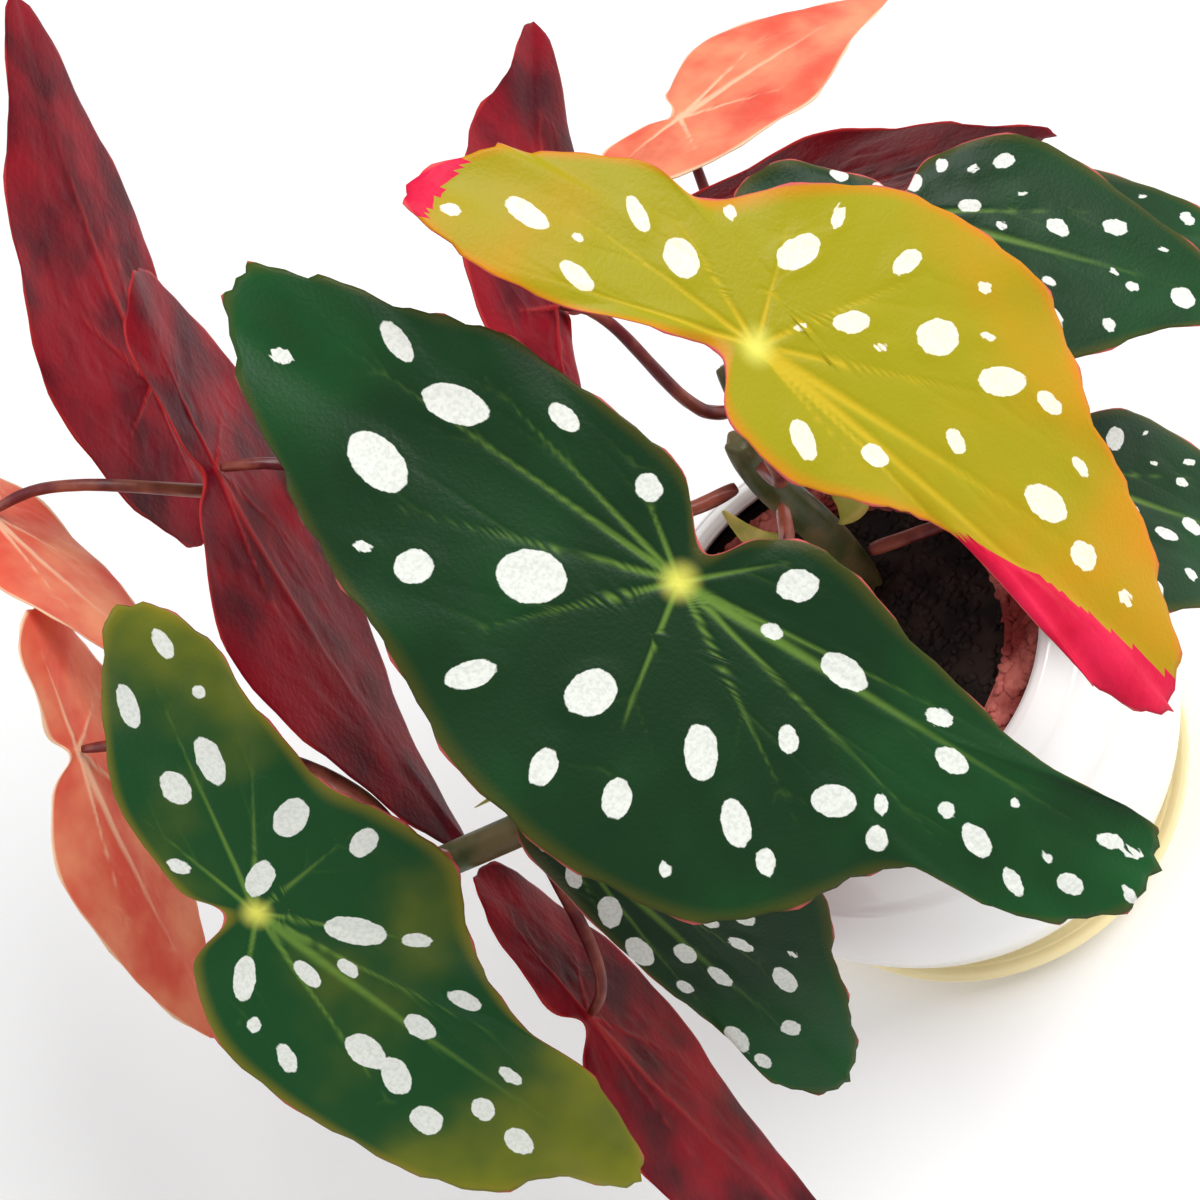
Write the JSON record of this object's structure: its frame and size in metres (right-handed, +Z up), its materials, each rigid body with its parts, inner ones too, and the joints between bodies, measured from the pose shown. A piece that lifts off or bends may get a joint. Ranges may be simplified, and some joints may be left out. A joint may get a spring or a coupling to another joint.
{
  "type": "potted polka dot begonia",
  "caption": "Cane begonia with white-spotted angel-wing leaves in a round white pot on a cream saucer.",
  "frame": {"origin": "centre of the saucer's flat underside, on the pot's axis", "axes": "+Z up along the pot's axis; the front leaf hangs towards -Y"},
  "size_m": [0.2576, 0.2623, 0.2533],
  "materials": {
    "pot": "white glossy glaze",
    "saucer": "cream glaze",
    "soil": "dark potting soil",
    "mulch": "crumbly red mulch",
    "cane": "green brown stem",
    "petiole": "maroon leaf stalk",
    "leaf_green": "satin leaf with silver spots",
    "leaf_yellow": "yellowing leaf with silver spots",
    "leaf_maroon": "maroon underside",
    "leaf_young": "young salmon leaf",
    "stipule": "yellow green stipule"
  },
  "bodies": {
    "root": {"pot": "pot", "saucer": "saucer", "soil": "soil", "mulch_ring": "mulch", "cane_front": "cane", "cane_left": "cane", "cane_back": "cane", "cane_side": "cane", "leaf_front": "leaf_green", "leaf_yellow": "leaf_yellow", "leaf_lower_left": "leaf_green", "leaf_below_front": "leaf_green", "leaf_far_left": "leaf_maroon", "leaf_left": "leaf_maroon", "leaf_young_left": "leaf_young", "leaf_young_low": "leaf_young", "leaf_low_under": "leaf_maroon", "leaf_top_under": "leaf_maroon", "leaf_young_top": "leaf_young", "leaf_top_dark": "leaf_maroon", "leaf_top_right": "leaf_green", "leaf_behind_right": "leaf_green", "leaf_right": "leaf_green", "leaf_middle": "leaf_green", "petiole_front": "petiole", "petiole_yellow": "petiole", "petiole_lower_left": "petiole", "petiole_below_front": "petiole", "petiole_far_left": "petiole", "petiole_left": "petiole", "petiole_young_left": "petiole", "petiole_young_low": "petiole", "petiole_low_under": "petiole", "petiole_top_under": "petiole", "petiole_young_top": "petiole", "petiole_top_dark": "petiole", "petiole_top_right": "petiole", "petiole_behind_right": "petiole", "petiole_right": "petiole", "petiole_middle": "petiole", "stipule_front": "stipule", "stipule_sheath": "stipule", "stipule_left": "stipule", "bract_dry": "stipule", "stipule_back": "stipule", "bud_back": "stipule"}
  },
  "joints": []
}
